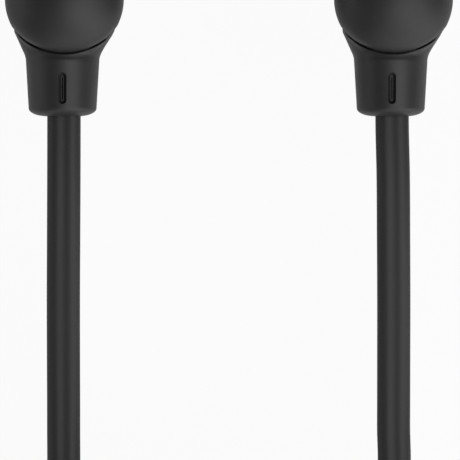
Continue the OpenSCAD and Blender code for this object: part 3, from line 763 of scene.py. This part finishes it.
def grained(name, dark, pale, grain, **values):
    # a moulded finish: two close colours drifting over the surface, grain and uneven gloss
    mat, tree, shader = newMaterial(name, **values)
    made = node(tree, "ShaderNodeGroup", node_tree=grainGroupTree)
    for key, value in grain.items():
        made.inputs[key].default_value = value
    mix = node(tree, "ShaderNodeMix", data_type="RGBA", A=(*dark, 1), B=(*pale, 1))
    wire(tree, (made, "Shade", mix, "Factor"), (mix, "Result", shader, "Base Color"),
         (made, "Roughness", shader, "Roughness"), (made, "Normal", shader, "Normal"))
    return mat


def cordMaterial():
    # soft jacket: faint drawn lines along the cord over a dull grain
    mat, tree, shader = newMaterial("cordJacket", Specular_IOR_Level=0.3)
    lay = node(tree, "ShaderNodeAttribute", attribute_name="lay")
    scale = node(tree, "ShaderNodeVectorMath", operation="MULTIPLY")
    scale.inputs[1].default_value = (9, 9, 0.02)
    lines = node(tree, "ShaderNodeTexNoise", Scale=1.0, Detail=3.0)
    coord = node(tree, "ShaderNodeTexCoord")
    grain = node(tree, "ShaderNodeTexNoise", Scale=6000.0, Detail=2.0)
    add = node(tree, "ShaderNodeMath", operation="MULTIPLY_ADD")
    add.inputs[1].default_value = 0.35
    bump = node(tree, "ShaderNodeBump", Strength=1.0, Distance=6e-6)
    ramp = node(tree, "ShaderNodeMapRange", To_Min=0.42, To_Max=0.56)
    tone = node(tree, "ShaderNodeMix", data_type="RGBA", A=(0.0280, 0.0280, 0.0285, 1),
                B=(0.0350, 0.0350, 0.0355, 1))
    wire(tree,
         (lay, "Vector", scale, 0), (scale, "Vector", lines, "Vector"),
         (coord, "Object", grain, "Vector"), (lines, "Fac", add, 0), (grain, "Fac", add, 2),
         (add, "Value", bump, "Height"), (lines, "Fac", ramp, "Value"),
         (ramp, "Result", shader, "Roughness"), (lines, "Fac", tone, "Factor"),
         (tone, "Result", shader, "Base Color"), (bump, "Normal", shader, "Normal"))
    return mat


def wovenMesh():
    # fine metal cloth: two crossing sets of round wires, with painted shade, the gaps between them
    # coloured near black
    mat, tree, shader = newMaterial("wovenMesh", Metallic=1.0)
    coord = node(tree, "ShaderNodeTexCoord")
    along, across = [node(tree, "ShaderNodeTexWave", Scale=900.0, bands_direction=axis) for axis in "XY"]
    high = node(tree, "ShaderNodeMath", operation="MAXIMUM")
    bump = node(tree, "ShaderNodeBump", Strength=1.0, Distance=2e-5)
    # painted shade: near black where both wire sets are low, in the holes of the cloth, and pale grey on
    # the wire tops
    tone = node(tree, "ShaderNodeMix", data_type="RGBA", A=(0.01, 0.01, 0.01, 1), B=(0.30, 0.30, 0.31, 1))
    wire(tree,
         (coord, "Object", along, "Vector"), (coord, "Object", across, "Vector"),
         (along, "Fac", high, 0), (across, "Fac", high, 1), (high, "Value", bump, "Height"),
         (high, "Value", tone, "Factor"), (tone, "Result", shader, "Base Color"),
         (bump, "Normal", shader, "Normal"))
    return mat


grainGroupTree = grainGroup()


def makeMaterials():
    # one finish for each of the record's slots
    return {
        "housing": grained("satinPlastic", (0.0225, 0.0225, 0.0230), (0.0265, 0.0265, 0.0270),
                           {"Grain Per Metre": 8000.0, "Grain Depth": 1.6e-6, "Rough Low": 0.44,
                            "Rough High": 0.52}, Specular_IOR_Level=0.45),
        "ear_tip": grained("silicone", (0.0120, 0.0120, 0.0124), (0.0160, 0.0160, 0.0165),
                           {"Grain Per Metre": 5000.0, "Grain Depth": 1e-6, "Rough Low": 0.46,
                            "Rough High": 0.6}, Specular_IOR_Level=0.4),
        "cord_rubber": grained("mouldedRubber", (0.0130, 0.0130, 0.0134), (0.0180, 0.0180, 0.0184),
                               {"Grain Per Metre": 6000.0, "Grain Depth": 3e-6, "Rough Low": 0.5,
                                "Rough High": 0.62}, Specular_IOR_Level=0.4),
        "inner_plastic": grained("driverPlastic", (0.02, 0.02, 0.02), (0.03, 0.03, 0.03),
                                 {"Rough Low": 0.4, "Rough High": 0.5}),
        "insulator": grained("insulatorPlastic", (0.012, 0.012, 0.012), (0.018, 0.018, 0.018),
                             {"Grain Depth": 5e-7, "Rough Low": 0.2, "Rough High": 0.28}),
        "gold": grained("goldPlate", (0.72, 0.50, 0.19), (0.80, 0.58, 0.25),
                        {"Grain Per Metre": 12000.0, "Grain Depth": 4e-7, "Rough Low": 0.16,
                         "Rough High": 0.26}, Metallic=1.0),
        "steel": grained("zincSteel", (0.46, 0.46, 0.47), (0.56, 0.56, 0.57),
                         {"Rough Low": 0.28, "Rough High": 0.4}, Metallic=1.0),
        "magnet": grained("nickelPlate", (0.36, 0.35, 0.34), (0.44, 0.43, 0.42),
                          {"Rough Low": 0.2, "Rough High": 0.3}, Metallic=1.0),
        "copper": grained("enamelledWire", (0.48, 0.20, 0.09), (0.60, 0.27, 0.13),
                          {"Rough Low": 0.25, "Rough High": 0.35}, Metallic=1.0),
        "film": grained("diaphragmFilm", (0.42, 0.43, 0.45), (0.52, 0.53, 0.55),
                        {"Rough Low": 0.25, "Rough High": 0.35}),
        "board": grained("solderMask", (0.014, 0.09, 0.035), (0.02, 0.12, 0.05),
                         {"Rough Low": 0.3, "Rough High": 0.4}),
        "cord": cordMaterial(),
        "steel_mesh": wovenMesh(),
        "vent_cloth": grained("ventCloth", (0.004, 0.004, 0.004), (0.006, 0.006, 0.006),
                              {"Grain Per Metre": 15000.0, "Grain Depth": 1e-5, "Rough Low": 0.8,
                               "Rough High": 0.9}, Specular_IOR_Level=0.1),
    }


def dressFrame(materials):
    # every CAD node gets its slot's finish
    for part in frame["record"]["subparts"]:
        obj = frame["nodes"][part["node"]]
        obj.data.materials.clear()
        obj.data.materials.append(materials[part["material_slot"]])


# floor and light

# how far the floor glows by itself, its half width, and its place under a tip that is pulled right off
stage = {"inCamera": 0.93, "inGloss": 0.25, "half": 1.5, "low": -0.0183}


def addStage():
    # a pale floor that keeps the shadow, and glows in the camera's view and, faintly, in gloss
    mat, tree, shader = newMaterial("floor", Base_Color=(0.9, 0.9, 0.9, 1), Roughness=0.9,
                                    Specular_IOR_Level=0.1)
    glow = node(tree, "ShaderNodeEmission", Color=(1, 1, 1, 1), Strength=1.0)
    path = node(tree, "ShaderNodeLightPath")
    mirrored = node(tree, "ShaderNodeMath", operation="MAXIMUM")
    faint = node(tree, "ShaderNodeMath", operation="MULTIPLY")
    faint.inputs[1].default_value = stage["inGloss"]
    part = node(tree, "ShaderNodeMath", operation="MULTIPLY_ADD")
    part.inputs[1].default_value = stage["inCamera"]
    mix = node(tree, "ShaderNodeMixShader")
    wire(tree,
         (path, "Is Glossy Ray", mirrored, 0), (path, "Is Transmission Ray", mirrored, 1),
         (mirrored, "Value", faint, 0), (path, "Is Camera Ray", part, 0), (faint, "Value", part, 2),
         (part, "Value", mix, "Fac"), (shader, "BSDF", mix, 1), (glow, "Emission", mix, 2),
         (mix, "Shader", tree.nodes["Material Output"], "Surface"))
    mesh = bpy.data.meshes.new("floor")
    half = stage["half"]
    corners = [(-half, -half, 0), (half, -half, 0), (half, half, 0), (-half, half, 0)]
    mesh.from_pydata(corners, [], [(0, 1, 2, 3)])
    mesh.materials.append(mat)
    floor = bpy.data.objects.new("floor", mesh)
    floor.location.z = stage["low"]
    scene.collection.objects.link(floor)


studio = {"fill": 0.05, "capTop": 0.01}  # level of the world's light, and the height the lamps aim at
lamps = [
    # name, direction from the caps, distance m, size m, watts
    ("keyLight", (0.43, -0.27, 0.86), 0.45, (0.42, 0.50), 1.36),
    ("cornerLight", (0.69, -0.69, 0.21), 0.45, (0.30, 0.40), 0.62),
    ("frontLight", (0.0, -0.98, 0.21), 0.45, (0.30, 0.40), 0.42),
    ("sideLight", (-0.98, 0.0, 0.21), 0.45, (0.30, 0.40), 0.38),
]


def addLights():
    # soft boxes that face the caps, and an even world that the camera sees as white
    for name, way, far, size, power in lamps:
        lamp = bpy.data.lights.new(name, "AREA")
        lamp.shape = "RECTANGLE"
        lamp.size, lamp.size_y = size
        lamp.energy = power
        obj = bpy.data.objects.new(name, lamp)
        z = np.array(way) / np.linalg.norm(way)
        y = np.array([0.0, 1.0, 0.0]) - z * z[1]
        y /= np.linalg.norm(y)
        obj.location = z * far + np.array([0, 0, studio["capTop"]])
        obj.rotation_mode = "QUATERNION"
        obj.rotation_quaternion = Matrix(np.stack([np.cross(y, z), y, z], axis=1).tolist()).to_quaternion()
        obj.visible_camera = False
        scene.collection.objects.link(obj)
    world = bpy.data.worlds.new("studio")
    scene.world = world
    world.use_nodes = True
    tree = world.node_tree
    back = tree.nodes["Background"]
    back.inputs["Color"].default_value = (1, 1, 1, 1)
    path = node(tree, "ShaderNodeLightPath")
    level = node(tree, "ShaderNodeMapRange", To_Min=studio["fill"], To_Max=1.0)
    wire(tree, (path, "Is Camera Ray", level, "Value"), (level, "Result", back, "Strength"))


addCamera()
materials = makeMaterials()
dressFrame(materials)
addCords(materials)
print("cords made")
addEarphones(materials)
print("earphones made")
addFittings(materials)
print("splitter and plug made")
addStage()
addLights()
scene.view_settings.view_transform = "Standard"
